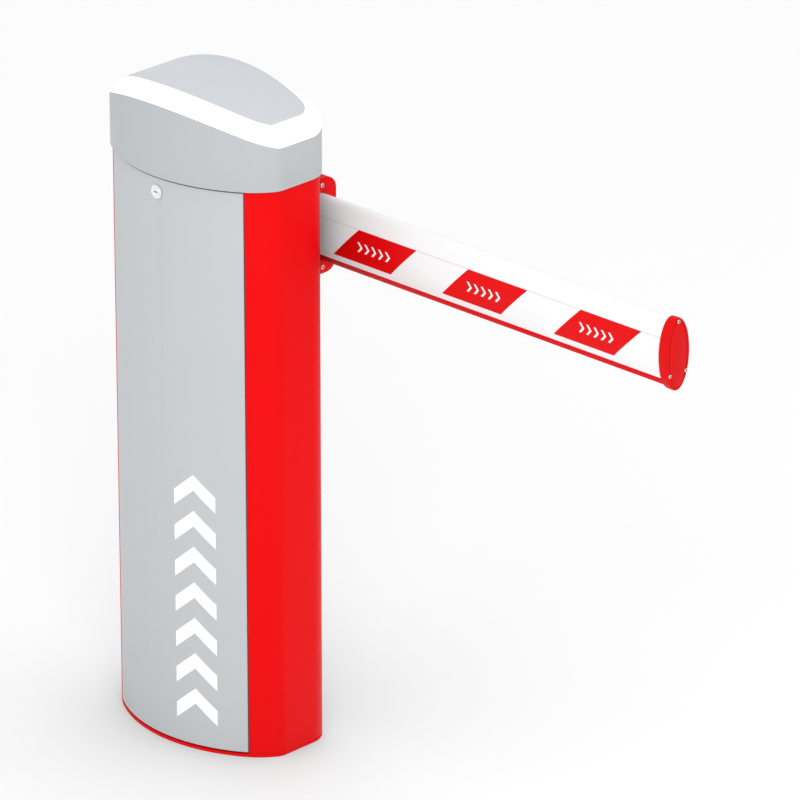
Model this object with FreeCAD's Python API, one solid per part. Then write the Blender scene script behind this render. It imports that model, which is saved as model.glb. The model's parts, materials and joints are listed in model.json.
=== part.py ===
"""Parking barrier gate: a floor-standing drive cabinet that raises and lowers a spring-balanced boom.

Sizes are in millimetres. The origin is on the ground under the middle of the cabinet. +X points along the closed
boom, +Y to the back of the cabinet, where the boom hangs, and +Z up. The boom is modelled closed, the door shut and
its lock open.
"""
import FreeCAD, Part
import math
import os

Vector = FreeCAD.Vector

# ---- Cabinet ----
cab_length = 338.0          # along the boom
cab_depth = 190.0           # bowed front to flat back
cab_height = 900.0          # ground to the cap's lower edge
bow_angle = 34.3            # the front's flattest arc ends where its face has turned this far
shoulder_angle = 58.5       # the second arc ends here and the corner begins
bow_flatness = 2.22         # front arc's radius over the second arc's
front_corner = 28.0         # front corner radius
rear_corner = 44.7          # rear corner radius
sheet = 2.0                 # shell and door sheet
base_thick = 5.0
anchor_span_x = 220.0       # anchor holes, centre to centre
anchor_span_y = 80.0
anchor_hole = 7.0           # radius
cable_hole = 28.0           # radius
cable_hole_x = 40.0
shell_overlap = 12.0        # shell standing up inside the cap
jamb_depth = 14.0           # folded edges of the shell and the door
ring_thick = 3.0

# ---- Door ----
door_strip = 34.6           # shell beside the door, from its seam to the cabinet's end
door_gap = 1.8              # between the door's side and the shell
door_foot_gap = 3.0         # above the base plate
door_head_gap = 3.0         # below the cap
gasket_clear = 0.3
gasket_sink = 0.8           # gasket's face behind the sheet's face
hook_rod_radius = 3.0
hook_rod_gap = 5.6          # rod's axis behind the bowed face at the rod's ends
hook_rod_up = 6.5           # rod's axis above the base plate
hook_rod_half = 48.0
hook_x = 37.5
hook_clear = 0.05
stiffener_under_box = 20.0  # upper stiffener below the control box
stiffener_thick = 3.0
foot_flange_up = 6.5        # door's lower flange above the rod's axis
hook_thick = 3.0
hook_height = 30.0
hook_tail = 5.0             # hook's tail below the rod's axis

# ---- Lock ----
lock_drop = 24.0            # lock's axis below the cap's lower edge
lock_flange = 1.6           # its rim outside the barrel
lock_barrel = 9.0           # radius
lock_plug_radius = 6.0
lock_reach = 22.0           # barrel's length behind the sheet's face
lock_cam_reach = 18.0
lock_proud = 2.2
lock_cam_thick = 3.0
key_slot = (7.0, 1.6)       # length and width
keeper_half = 25.0          # half length of the lip behind which the cam catches
keeper_drop = 14.0

# ---- Cap ----
cap_overhang = 3.5
cap_wall = 2.5
cap_end_height = 65.5       # skirt's height at the two ends
cap_rise = 45.5             # rise of its arched rim from the ends to the middle
band_width = 24.0           # the light band slopes in this far
band_thick = 2.0            # upright, so also the height of its edge above the skirt's rim
lid_lift = 22.5             # lid's crown above the skirt's crown
lid_rise = 40.0
lid_thick = 3.0
tray_up = 30.0              # cap tray above the cap's lower edge
tray_thick = 3.0
ring_inset = 2.0            # the top ring's inner corners keep this radius
post_radius = 6.0
light_strip_edges = (-14.0, -22.0)

# ---- Boom ----
boom_drop = 114.0           # boom's centre line below the cap's lower edge
boom_half_w = 20.0
boom_half_h = 52.0
boom_wall = 2.2
boom_root = -60.0
boom_tip = 808.6            # outer face of the end cap
bumper_height = 14.6        # rubber's height from the boom's lowest line
bumper_wall = 4.0
end_cap_thick = 16.0
end_cap_side = 5.0          # end cap's rim outside the boom, at the sides
end_cap_top = 3.0           # and at the top and bottom
end_cap_plug = 22.0
end_screw_radius = 2.8
end_screw_low = 0.55        # lower screws, as a share of the boom's half height
film_top_in = 27.3          # joint lines of the boom's film, from its highest line
film_bottom_in = 23.4       # and from its lowest line
film_line = 0.9

# ---- Reflectors ----
mark_first = 199.0          # top near corner of the first mark
mark_pitch = 219.7
mark_width = 116.3
mark_slant = 52.1
mark_top_in = 27.5          # from the boom's highest line
mark_bottom_in = 24.8       # from its lowest line
mark_thick = 0.25
mark_count = 3

# ---- Boom bracket ----
bracket_tip = 105.7
bracket_root = -72.0
bracket_side = 10.0         # bracket outside the boom, at the sides
bracket_above = 22.7        # and at the top and bottom
bracket_corner = 22.0
bracket_wall = 5.0
bracket_plate_thick = 6.0
bracket_screw_above = 12.2  # screws outside the boom's highest and lowest lines
bracket_screw_head = 3.7    # radius
boom_slot_clear = 1.3
hub_wall = 22.5
hub_length = 6.85
hub_gap = 4.5               # hub to the cabinet's back
clamp_inset = 15.0
clamp_half = 12.0
clamp_screw_radius = 4.0
hub_bolt_radius = 3.0
hub_bolt_half = 20.0
boss_radius = 7.0
end_cover_thick = 5.0

# ---- Shaft and linkage ----
shaft_radius = 17.5
seal_width = 8.0            # shaft seal, from the shaft to the wall's hole
running = 0.03              # radial clearance of shafts in bearings
pin_running = 0.05
pin_radius = 6.0
open_pivot = 0.3            # extra room at the linkage's last pin
rear_plate_y = 58.0
front_plate_y = 12.0
plate_thick = 6.0
plate_half = 78.0
plate_drop = 15.0           # drive plates' top below the cap's lower edge
front_plate_drop = 94.0     # front plate's foot below the crank's axis
spacer_radius = 8.0
spacer_x = 68.0
foot_depth = 30.0           # frame's foot angle
foot_height = 40.0
foot_thick = 4.0
foot_bolt_x = 55.0
bearing_wall = 22.5
bearing_thick = 12.0
bearing_corner = 14.0
bearing_bolt_in = 10.0
link_y = 38.0               # middle plane of the linkage
eye_thick = 10.0
eye_wall = 7.0
stem_radius = 4.5           # shanks of the rod ends and of the spring's hanger
stem_start = 9.0            # from the eye's centre
stem_end = 34.0
rod_radius = 8.0
nut_across = 17.0
nut_height = 8.0
pin_end = 2.0               # rocker pins beyond the arms
pin_head = 3.0              # crank pin's head outside the pin
arm_gap = 1.5
arm_thick = 6.0
rocker_wall = 8.5
drive_arm = 60.0            # crank and rocker arm
spring_arm = 70.0
drive_angle = -45.0         # closed
spring_angle = 135.0        # closed
swing = 90.0
rod_length = 230.0          # between the rod's two pins
crank_hub = 20.0
output_radius = 12.0
buffer_radius = 8.0
buffer_arm = 48.0
buffer_gap = 0.3
key_width = 10.0
key_height = 8.0

# ---- Gear motor ----
gearbox_half_x = 58.0
gearbox_half_z = 65.0
gearbox_front = -60.0
gearbox_cover_thick = 6.0
gearbox_cover_radius = 48.0
cover_bolt_circle = 41.0
cover_bolt_radius = 3.5
cover_bolts = 6
motor_radius = 36.0
motor_y = -28.0
motor_height = 161.0
motor_fins = 13
motor_fin_pitch = 10.0
motor_fin_thick = 3.0
motor_fin_proud = 2.5
fan_cover_height = 38.0
release_x = 30.0
release_up = 34.0           # release's axis above the crank's
release_reach = 40.0
release_thick = 7.0

# ---- Balance spring ----
spring_radius = 16.0
spring_wire = 5.0
spring_length = 355.0
spring_drop = 86.0          # spring's top below the shaft's axis
spring_pitch = 9.0
spring_gap = 0.3
seat_thick = 8.0
shelf_half = 16.0
tension_radius = 5.0
anchor_drop = 45.0          # anchor shelf below the spring

# ---- Switches and control box ----
cam_wall = 4.5
cam_thick = 9.0
cam_notch = 3.5
switch_half = 14.0
switch_height = 17.0
switch_up = 7.0             # switch cases outside the cams
shaft_front = -28.0
box_half = 85.0
box_drop = 50.0             # box's top below the cap's lower edge
box_height = 185.0
box_front = -68.0
box_back = -36.0
box_wall = 3.0
box_post_x = 62.0
board_half = 75.0
board_thick = 1.6
board_up = 14.0             # board's back from the box's back
strip_half = 60.0
terminal_pitch = 9.0
gland_places = (-40.0, 0.0, 40.0)

# ---- Worked out from the sizes above ----
half_length = cab_length / 2
front_y = -cab_depth / 2
back_y = cab_depth / 2
sin_bow = math.sin(math.radians(bow_angle))
sin_shoulder = math.sin(math.radians(shoulder_angle))
shoulder_radius = ((half_length - front_corner * (1 - sin_shoulder))
                   / ((bow_flatness - 1) * sin_bow + sin_shoulder))
bow_radius = bow_flatness * shoulder_radius
door_half = half_length - door_strip
opening_half = door_half + door_gap
door_foot = base_thick + door_foot_gap
door_head = cab_height - door_head_gap
shell_top = cab_height + shell_overlap
front_reach = front_y + cab_depth / 3
lock_z = cab_height - lock_drop
lock_rim = lock_barrel + lock_flange
bracket_half_w = boom_half_w + bracket_side
bracket_half_h = boom_half_h + bracket_above
bracket_screw_half = boom_half_h + bracket_screw_above
boom_y = back_y + hub_gap + hub_length + bracket_half_w
boom_z = cab_height - boom_drop
film_levels = (boom_half_h - film_top_in, film_bottom_in - boom_half_h)
mark_top = boom_half_h - mark_top_in
mark_bottom = mark_bottom_in - boom_half_h
hub_radius = shaft_radius + hub_wall
bearing_half = shaft_radius + bearing_wall
rocker_hub = shaft_radius + rocker_wall
cam_radius = shaft_radius + cam_wall
eye_radius = pin_radius + eye_wall
plate_top = cab_height - plate_drop
crank_z = boom_z - rod_length
front_plate_foot = crank_z - front_plate_drop
gearbox_foot = crank_z - gearbox_half_z
gearbox_top = crank_z + gearbox_half_z
motor_foot = gearbox_foot - motor_height
release_z = crank_z + release_up
spring_top = boom_z - spring_drop
spring_foot = spring_top - spring_length
anchor_z = spring_foot - anchor_drop
box_top = cab_height - box_drop
box_foot = box_top - box_height
skirt_crown = cab_height + cap_end_height + cap_rise
tray_z = cab_height + tray_up
ring_z = cab_height + sheet
ring_width = front_corner - ring_inset
linkage_front = link_y - eye_thick / 2
linkage_back = link_y + eye_thick / 2
pivot_z = base_thick + hook_rod_up
bumper_top = boom_z - boom_half_h + bumper_height
cap_face = boom_tip - end_cap_thick
bracket_face = bracket_tip - bracket_plate_thick
bracket_near = boom_y - bracket_half_w
bracket_far = boom_y + bracket_half_w
shaft_back = bracket_near
far = 500.0                 # longer than any piece that a cutting block passes through


# ---- Plain solids ----
def block(x0, x1, y0, y1, z0, z1):
    return Part.makeBox(x1 - x0, y1 - y0, z1 - z0, Vector(x0, y0, z0))


def bar_x(x0, x1, y, z, radius):
    return Part.makeCylinder(radius, x1 - x0, Vector(x0, y, z), Vector(1, 0, 0))


def bar_y(y0, y1, x, z, radius):
    return Part.makeCylinder(radius, y1 - y0, Vector(x, y0, z), Vector(0, 1, 0))


def bar_z(z0, z1, x, y, radius):
    return Part.makeCylinder(radius, z1 - z0, Vector(x, y, z0), Vector(0, 0, 1))


def joined(solids):
    """Touching or overlapping solids made into one."""
    first, *rest = solids
    return first.multiFuse(rest).removeSplitter() if rest else first


def mirrored(shape):
    """The same piece on the other side of the cabinet's middle plane."""
    return shape.mirror(Vector(0, 0, 0), Vector(1, 0, 0))


def pair(shape):
    return [shape, mirrored(shape)]


def rounded(shape, radius, direction):
    """Rounds the straight edges that run along a direction."""
    edges = [e for e in shape.Edges if len(e.Vertexes) == 2
             and abs(abs((e.Vertexes[1].Point - e.Vertexes[0].Point).normalize().dot(direction)) - 1) < 1e-6]
    return shape.makeFillet(radius, edges)


def hex_bar(z0, z1, x, y, across):
    """A nut or bolt head: a hexagonal bar, given its size across the flats."""
    corner = across / math.sqrt(3)
    points = [Vector(x + corner * math.cos(math.radians(60 * i)), y + corner * math.sin(math.radians(60 * i)), z0)
              for i in range(7)]
    return Part.Face(Part.makePolygon(points)).extrude(Vector(0, 0, z1 - z0))


def on_circle(radius, angle, x=0.0, z=0.0):
    """A point in the plane of the linkage, its angle counted from +X towards +Z."""
    a = math.radians(angle)
    return x + radius * math.cos(a), z + radius * math.sin(a)


def link(y0, y1, start, end):
    """A flat link round two eyes, each given as (x, z, radius)."""
    (xa, za, ra), (xb, zb, rb) = start, end
    length = math.hypot(xb - xa, zb - za)
    along = math.degrees(math.atan2(zb - za, xb - xa))
    lean = math.degrees(math.asin((ra - rb) / length))
    corners = []
    for turn, order in ((90 - lean, 1), (lean - 90, -1)):
        ends = [on_circle(ra, along + turn, xa, za), on_circle(rb, along + turn, xb, zb)]
        corners += ends[::order]
    points = [Vector(x, y0, z) for x, z in corners]
    web = Part.Face(Part.makePolygon(points + points[:1])).extrude(Vector(0, y1 - y0, 0))
    return joined([web, bar_y(y0, y1, xa, za, ra), bar_y(y0, y1, xb, zb, rb)])


# ---- The cabinet's plan ----
def heading(angle):
    """Unit vector at an angle from straight ahead, counted towards +X."""
    a = math.radians(angle)
    return Vector(math.sin(a), -math.cos(a), 0)


def flipped(point):
    return Vector(-point.x, point.y, point.z)


def plan_turns():
    """Every arc of the plan, in order: centre, radius, first and last heading."""
    bow = Vector(0, front_y + bow_radius, 0)
    shoulder = bow + heading(bow_angle) * (bow_radius - shoulder_radius)
    corner = shoulder + heading(shoulder_angle) * (shoulder_radius - front_corner)
    rear = Vector(half_length - rear_corner, back_y - rear_corner, 0)
    return ((bow, bow_radius, -bow_angle, bow_angle),
            (shoulder, shoulder_radius, bow_angle, shoulder_angle),
            (corner, front_corner, shoulder_angle, 90),
            (rear, rear_corner, 90, 180),
            (flipped(rear), rear_corner, 180, 270),
            (flipped(corner), front_corner, 270, 360 - shoulder_angle),
            (flipped(shoulder), shoulder_radius, 360 - shoulder_angle, 360 - bow_angle))


def plan_edges(offset):
    """The plan's outline, grown by offset, as arcs and lines."""
    edges = []
    last = None
    for centre, radius, start, end in plan_turns():
        grown = radius + offset
        points = [centre + heading(a) * grown for a in (start, (start + end) / 2, end)]
        if last is not None and last.distanceToPoint(points[0]) > 0.01:
            edges.append(Part.makeLine(last, points[0]))
        edges.append(Part.Arc(*points).toShape())
        last = points[-1]
    return edges


def slab(offset, z0, z1):
    """A solid plate with the cabinet's plan."""
    face = Part.Face(Part.Wire(plan_edges(offset)))
    face.translate(Vector(0, 0, z0))
    return face.extrude(Vector(0, 0, z1 - z0))


def rim(outer, inner, z0, z1):
    """A plate with the cabinet's plan and a hole of the same plan."""
    return slab(outer, z0, z1).cut(slab(inner, z0 - 1, z1 + 1))


def front_part(shape, half):
    """What lies in front of the side corners, between -half and half."""
    return shape.common(block(-half, half, front_y - far, front_reach, -far, 2 * far + cab_height))


def side_fold(x0, x1, depth, z0, z1, offset=0.0):
    """A strip folded back from the front's face at a constant X, on both sides."""
    face_y = fold_y(x0)
    strip = slab(offset, z0, z1).common(block(x0, x1, front_y, face_y + depth, z0, z1))
    return pair(strip)


def fold_y(x):
    """Y of the bowed front at a distance x from the middle, on whichever arc is there."""
    arcs = plan_turns()[:3]
    for centre, radius, start, end in arcs:
        if x <= (centre + heading(end) * radius).x:
            break
    return centre.y - math.sqrt(radius ** 2 - (x - centre.x) ** 2)


pivot_y = fold_y(hook_rod_half) + hook_rod_gap


# ---- Cabinet ----
def base_plate():
    plate = slab(0, 0, base_thick)
    for x in (-anchor_span_x / 2, anchor_span_x / 2):
        for y in (-anchor_span_y / 2, anchor_span_y / 2):
            plate = plate.cut(bar_z(-1, base_thick + 1, x, y, anchor_hole))
    return plate.cut(bar_z(-1, base_thick + 1, cable_hole_x, 0, cable_hole))


def cabinet_shell():
    wall = rim(0, -sheet, base_thick, shell_top)
    doorway = block(-opening_half, opening_half, front_y - 1, front_reach, base_thick - 1, cab_height - 1)
    jambs = side_fold(opening_half, opening_half + sheet, jamb_depth, base_thick, cab_height - 1)
    shell = joined([wall.cut(doorway), *jambs])
    return shell.cut(bar_y(back_y - 10, back_y + 10, 0, boom_z, shaft_radius + seal_width))


def door_gasket():
    strips = side_fold(door_half + gasket_clear, opening_half, jamb_depth - 3, base_thick, door_head,
                       -gasket_sink)
    return Part.makeCompound(strips)


def top_ring():
    """The frame that closes the shell's top, with the lip that the lock's cam catches behind."""
    lip = front_y + lock_reach - 2.5
    keeper = block(-keeper_half, keeper_half, lip, lip + ring_thick, ring_z - keeper_drop, ring_z + 1)
    return joined([rim(-sheet, -ring_width, ring_z, ring_z + ring_thick), keeper])


def door_panel():
    skin = front_part(rim(0, -sheet, door_foot, door_head), door_half)
    folds = side_fold(door_half - sheet, door_half, jamb_depth - 2, door_foot, door_head)
    head = front_part(rim(-sheet / 2, -jamb_depth, door_head - sheet, door_head), door_half)
    foot_z = pivot_z + foot_flange_up
    foot = front_part(rim(-sheet / 2, -jamb_depth, foot_z, foot_z + sheet), door_half)
    panel = joined([skin, *folds, head, foot])
    return panel.cut(bar_y(front_y - 5, front_y + 10, 0, lock_z, lock_barrel))


def door_stiffeners():
    heights = (cab_height / 3, box_foot - stiffener_under_box)
    bars = [front_part(rim(-sheet, -jamb_depth, z, z + stiffener_thick), door_half - 4) for z in heights]
    return Part.makeCompound(bars)


def hook_rod():
    rod = bar_x(-hook_rod_half, hook_rod_half, pivot_y, pivot_z, hook_rod_radius)
    bracket = block(hook_rod_half - 4, hook_rod_half, pivot_y - 1, pivot_y + 14, base_thick, pivot_z + 5)
    return joined([rod, *pair(bracket)])


def door_hooks():
    """Two plates on the door that drop over the rod and let the door tilt and lift off."""
    behind_fold = fold_y(hook_x) + jamb_depth + 5
    x0 = hook_x - hook_thick / 2
    x1 = hook_x + hook_thick / 2
    plate = block(x0, x1, front_y, behind_fold, pivot_z, pivot_z + hook_height)
    tail = block(x0, x1, pivot_y - 6, pivot_y + 7, pivot_z - hook_tail, pivot_z)
    slot_radius = hook_rod_radius + hook_clear
    slot = joined([bar_x(x0 - 1, x1 + 1, pivot_y, pivot_z, slot_radius),
                   block(x0 - 1, x1 + 1, pivot_y - slot_radius, pivot_y + slot_radius, 0, pivot_z)])
    hook = joined([plate, tail]).common(slab(-sheet, 0, far)).cut(slot)
    foot_z = pivot_z + foot_flange_up
    hook = hook.cut(front_part(rim(0, -jamb_depth, foot_z, foot_z + sheet), door_half))
    return Part.makeCompound([piece for side in pair(hook) for piece in side.Solids])


# ---- Lock ----
def lock_body():
    barrel = joined([bar_y(front_y - lock_proud, front_y, 0, lock_z, lock_rim),
                     bar_y(front_y, front_y + lock_reach, 0, lock_z, lock_barrel)])
    return barrel.cut(bar_y(front_y - 10, front_y + lock_reach + 1, 0, lock_z, lock_plug_radius + pin_running))


def lock_plug():
    plug = bar_y(front_y - lock_proud - 0.4, front_y + lock_reach + 2, 0, lock_z, lock_plug_radius)
    slot_y = front_y - lock_proud - 1
    half_long, half_wide = key_slot[0] / 2, key_slot[1] / 2
    return plug.cut(block(-half_long, half_long, slot_y, slot_y + 5, lock_z - half_wide, lock_z + half_wide))


def lock_cam():
    y = front_y + lock_reach + 2
    return link(y, y + lock_cam_thick, (0, lock_z, 7), (lock_cam_reach, lock_z, 5))


# ---- Cap ----
def arch_radius(half_chord, rise):
    return (half_chord ** 2 + rise ** 2) / (2 * rise)


skirt_arch = arch_radius(half_length + cap_overhang, cap_rise)
lid_arch = arch_radius(half_length + cap_overhang - band_width, lid_rise)
lid_crown = skirt_crown + lid_lift


def under_arch(crown, radius):
    return bar_y(-far, far, 0, crown - radius, radius)


def arch_z(x, crown, radius):
    return crown - radius + math.sqrt(radius ** 2 - x ** 2)


def arched_edges(offset, crown, radius):
    """The plan's outline lifted onto an arch that runs front to back."""
    steps = 8
    lifted = []
    for edge in plan_edges(offset):
        first, last = edge.ParameterRange
        points = [edge.valueAt(first + (last - first) * i / steps) for i in range(steps + 1)]
        curve = Part.BSplineCurve()
        curve.interpolate([Vector(p.x, p.y, arch_z(p.x, crown, radius)) for p in points])
        lifted.append(curve.toShape())
    return lifted


def light_band():
    outer = arched_edges(cap_overhang, skirt_crown + band_thick, skirt_arch)
    inner = arched_edges(cap_overhang - band_width, lid_crown, lid_arch)
    strips = [Part.makeRuledSurface(a, b).extrude(Vector(0, 0, -band_thick)) for a, b in zip(outer, inner)]
    return joined(strips)


def cap_skirt():
    wall = rim(cap_overhang, cap_overhang - cap_wall, cab_height, skirt_crown + 10)
    return wall.common(under_arch(skirt_crown, skirt_arch))


def cap_lid():
    top = slab(cap_overhang - band_width, cab_height, lid_crown + 10).common(under_arch(lid_crown, lid_arch))
    return top.cut(under_arch(lid_crown - lid_thick, lid_arch - lid_thick / 2))


def cap_tray():
    return rim(cap_overhang - cap_wall, -ring_width, tray_z, tray_z + tray_thick)


def light_strip():
    strip_z = tray_z + tray_thick
    return rim(*light_strip_edges, strip_z, strip_z + 3)


post_places = [(x * side, y) for side in (-1, 1) for x, y in ((half_length - 15, 30), (70, front_y + 26))]


# ---- Drive frame ----
spacer_places = ((-spacer_x, plate_top - 13), (spacer_x, plate_top - 13),
                 (spacer_x, front_plate_foot + 14), (-20, front_plate_foot + 14))
box_post_places = [(x, z) for x in (-box_post_x, box_post_x) for z in (box_foot + 15, box_top - 15)]
wall_spacer_places = [(x, z) for x in (-spacer_x, spacer_x) for z in (plate_top - 40, boom_z - 120)]


def shaft_hole(y0, y1):
    return bar_y(y0, y1, 0, boom_z, shaft_radius + 6)


def drive_rear_plate():
    plate = block(-plate_half, plate_half, rear_plate_y, rear_plate_y + plate_thick, base_thick, plate_top)
    return plate.cut(shaft_hole(rear_plate_y - 1, rear_plate_y + plate_thick + 1))


def drive_front_plate():
    plate = block(-plate_half, plate_half, front_plate_y, front_plate_y + plate_thick, front_plate_foot, plate_top)
    holes = [shaft_hole(front_plate_y - 1, front_plate_y + plate_thick + 1),
             bar_y(front_plate_y - 1, front_plate_y + plate_thick + 1, 0, crank_z, output_radius + 8)]
    return plate.cut(holes)


def stand_offs():
    """Round spacers between the drive plates, to the back wall, to the control box and under the cap."""
    front = front_plate_y + plate_thick
    posts = [bar_y(front, rear_plate_y, x, z, spacer_radius) for x, z in spacer_places]
    rear = rear_plate_y + plate_thick
    posts += [bar_y(rear, back_y - sheet, x, z, spacer_radius) for x, z in wall_spacer_places]
    posts += [bar_y(box_back, front_plate_y, x, z, post_radius) for x, z in box_post_places]
    posts += [bar_z(ring_z + ring_thick, tray_z, x, y, post_radius) for x, y in post_places]
    return Part.makeCompound(posts)


def frame_foot():
    back = rear_plate_y - foot_thick
    flat = block(-plate_half, plate_half, back - foot_depth, back, base_thick, base_thick + foot_thick)
    upright = block(-plate_half, plate_half, back, rear_plate_y, base_thick, base_thick + foot_height)
    return joined([flat, upright])


def frame_bolts():
    """Heads of the bolts through the foot and of the front bearing's bolts."""
    z = base_thick + foot_thick
    heads = [hex_bar(z, z + 5.5, x, rear_plate_y - 20, 13) for x in (-foot_bolt_x, foot_bolt_x)]
    bearing_y = front_plate_y - bearing_thick
    bolt_rows = (bearing_bolt_in - bearing_half, bearing_half - bearing_bolt_in)
    heads += [bar_y(bearing_y - 5, bearing_y, x, boom_z + dz, 5) for x in bolt_rows for dz in bolt_rows]
    return Part.makeCompound(heads)


def shaft_bearings():
    blocks = []
    rear = rear_plate_y + plate_thick
    for y0, y1 in ((front_plate_y - bearing_thick, front_plate_y), (rear, rear + bearing_thick)):
        flange = block(-bearing_half, bearing_half, y0, y1, boom_z - bearing_half, boom_z + bearing_half)
        flange = rounded(flange, bearing_corner, Vector(0, 1, 0))
        blocks.append(flange.cut(bar_y(y0 - 1, y1 + 1, 0, boom_z, shaft_radius + running)))
    return Part.makeCompound(blocks)


def shaft_seal():
    ring = bar_y(back_y - sheet - 2, back_y + 2, 0, boom_z, shaft_radius + seal_width)
    return ring.cut(bar_y(0, far, 0, boom_z, shaft_radius + 0.3))


def stop_buffers():
    """Rubber stops that the rocker's two arms come to rest against, closed and open."""
    rests = ((drive_arm, drive_angle, -1), (spring_arm, spring_angle + swing, 1))
    buffers = []
    for arm, angle, side in rests:
        lean = math.asin((rocker_hub - eye_radius) / arm)
        turn = side * (90 - math.degrees(lean))
        off = rocker_hub - buffer_arm * math.sin(lean) + buffer_radius + buffer_gap
        x, z = on_circle(off, angle + turn, *on_circle(buffer_arm, angle, 0, boom_z))
        buffers.append(bar_y(linkage_back + arm_gap, rear_plate_y, x, z, buffer_radius))
    return Part.makeCompound(buffers)


# ---- Gear motor ----
def gearbox_case():
    case = rounded(block(-gearbox_half_x, gearbox_half_x, gearbox_front, front_plate_y, gearbox_foot, gearbox_top),
                   12, Vector(0, 1, 0))
    return case.cut(bar_y(gearbox_front + 20, front_plate_y + 1, 0, crank_z, output_radius + running))


def gearbox_cover():
    y0 = gearbox_front - gearbox_cover_thick
    cover = bar_y(y0, gearbox_front, 0, crank_z, gearbox_cover_radius)
    for i in range(cover_bolts):
        x, z = on_circle(cover_bolt_circle, i * 360 / cover_bolts, 0, crank_z)
        cover = cover.cut(bar_y(y0 - 1, y0 + 3, x, z, cover_bolt_radius))
    return cover


def motor():
    body = [bar_z(motor_foot, gearbox_foot, 0, motor_y, motor_radius)]
    for i in range(motor_fins):
        z = motor_foot + (i + 2) * motor_fin_pitch
        body.append(bar_z(z, z + motor_fin_thick, 0, motor_y, motor_radius + motor_fin_proud))
    return joined(body)


def motor_fan_cover():
    top = motor_foot
    cup = bar_z(top - fan_cover_height, top, 0, motor_y, motor_radius + 2)
    return cup.makeFillet(6, [e for e in cup.Edges if e.BoundBox.ZMax < top - fan_cover_height + 1])


def release_lever():
    y1 = gearbox_front - gearbox_cover_thick - 0.3
    y0 = y1 - release_thick
    knob = bar_y(y0 - 2, y1 - 3, release_x + release_reach, release_z, 7)
    arm = link(y0, y1 - 3, (release_x, release_z, 8), (release_x + release_reach, release_z, 5))
    return joined([bar_y(y0, y1, release_x, release_z, 9), arm, knob])


# ---- Boom shaft and rocker ----
drive_pin = on_circle(drive_arm, drive_angle, 0, boom_z)
spring_pin = on_circle(spring_arm, spring_angle, 0, boom_z)
crank_pin_place = on_circle(drive_arm, drive_angle, 0, crank_z)
arm_planes = ((linkage_front - arm_gap - arm_thick, linkage_front - arm_gap),
              (linkage_back + arm_gap, linkage_back + arm_gap + arm_thick))
hub_front = front_plate_y + plate_thick + 3
hub_back = rear_plate_y - 3


def key_block(grow=0.0):
    top = boom_z + shaft_radius + key_height / 2
    half = key_width / 2 + grow
    return block(-half, half, hub_front, hub_back, top - key_height - grow, top + grow)


def boom_shaft():
    return bar_y(shaft_front, shaft_back, 0, boom_z, shaft_radius).cut(key_block())


def shaft_key():
    return key_block()


def rocker():
    parts = [bar_y(hub_front, hub_back, 0, boom_z, rocker_hub)]
    for y0, y1 in arm_planes:
        for x, z in (drive_pin, spring_pin):
            parts.append(link(y0, y1, (0, boom_z, rocker_hub), (x, z, eye_radius)))
    cuts = [bar_y(0, far, 0, boom_z, shaft_radius), key_block()]
    cuts += [bar_y(0, far, x, z, pin_radius) for x, z in (drive_pin, spring_pin)]
    return joined(parts).cut(cuts)


def rocker_pins():
    start = arm_planes[0][0] - pin_end
    end = arm_planes[1][1] + pin_end
    return Part.makeCompound([bar_y(start, end, x, z, pin_radius) for x, z in (drive_pin, spring_pin)])


def switch_cams():
    """Two notched discs at the shaft's front end, one for each switch."""
    discs = []
    for y0, turn in ((shaft_front + 3, 60), (shaft_front + 5 + cam_thick, -30)):
        disc = bar_y(y0, y0 + cam_thick, 0, boom_z, cam_radius)
        notch = block(cam_radius - cam_notch, far, y0 - 1, y0 + cam_thick + 1, boom_z - far, boom_z + far)
        notch.rotate(Vector(0, 0, boom_z), Vector(0, -1, 0), turn)
        discs.append(disc.cut([bar_y(y0 - 1, y0 + cam_thick + 1, 0, boom_z, shaft_radius), notch]))
    return Part.makeCompound(discs)


def limit_switches():
    cases = []
    case_z = boom_z + cam_radius + switch_up
    shelf_z = case_z + switch_height
    for y0 in (shaft_front + 3, shaft_front + 5 + cam_thick):
        middle = y0 + cam_thick / 2
        case = block(-switch_half, switch_half, y0, y0 + cam_thick, case_z, shelf_z)
        plunger = bar_z(boom_z + cam_radius + 0.5, case_z + 1, 0, middle, 2)
        cases.append(joined([case, plunger]))
    shelf = block(-switch_half - 2, switch_half + 2, shaft_front + 2, front_plate_y, shelf_z, shelf_z + 3)
    return Part.makeCompound([*cases, shelf])


# ---- Crank and connecting rod ----
crank_front = front_plate_y + plate_thick + 2
crank_back = arm_planes[0][1]


def crank():
    arm = link(crank_front + 2, crank_back, (0, crank_z, crank_hub), (*crank_pin_place, eye_radius))
    pin = bar_y(crank_back, linkage_back + 4, *crank_pin_place, pin_radius)
    head = bar_y(linkage_back + 0.5, linkage_back + 4, *crank_pin_place, pin_radius + pin_head)
    forged = joined([arm, bar_y(crank_front, crank_back, 0, crank_z, crank_hub), pin, head])
    return forged.cut(bar_y(0, crank_back + 1, 0, crank_z, output_radius))


def output_shaft():
    return bar_y(gearbox_front + 21, crank_back, 0, crank_z, output_radius)


def rod_ends():
    ends = []
    for (x, z), side, clear in ((drive_pin, -1, pin_running), (crank_pin_place, 1, open_pivot)):
        eye = bar_y(linkage_front, linkage_back, x, z, eye_radius)
        low, high = sorted((z + side * stem_start, z + side * stem_end))
        shank = bar_z(low, high, x, link_y, stem_radius)
        ends.append(joined([eye, shank]).cut(bar_y(0, far, x, z, pin_radius + clear)))
    return Part.makeCompound(ends)


def connecting_rod():
    x, top = drive_pin
    foot = crank_pin_place[1]
    low = foot + stem_end
    high = top - stem_end
    tube = bar_z(low, high, x, link_y, rod_radius)
    nuts = [hex_bar(z, z + nut_height, x, link_y, nut_across) for z in (low, high - nut_height)]
    return joined([tube, *nuts])


# ---- Balance spring ----
spring_x = spring_pin[0]


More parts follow.
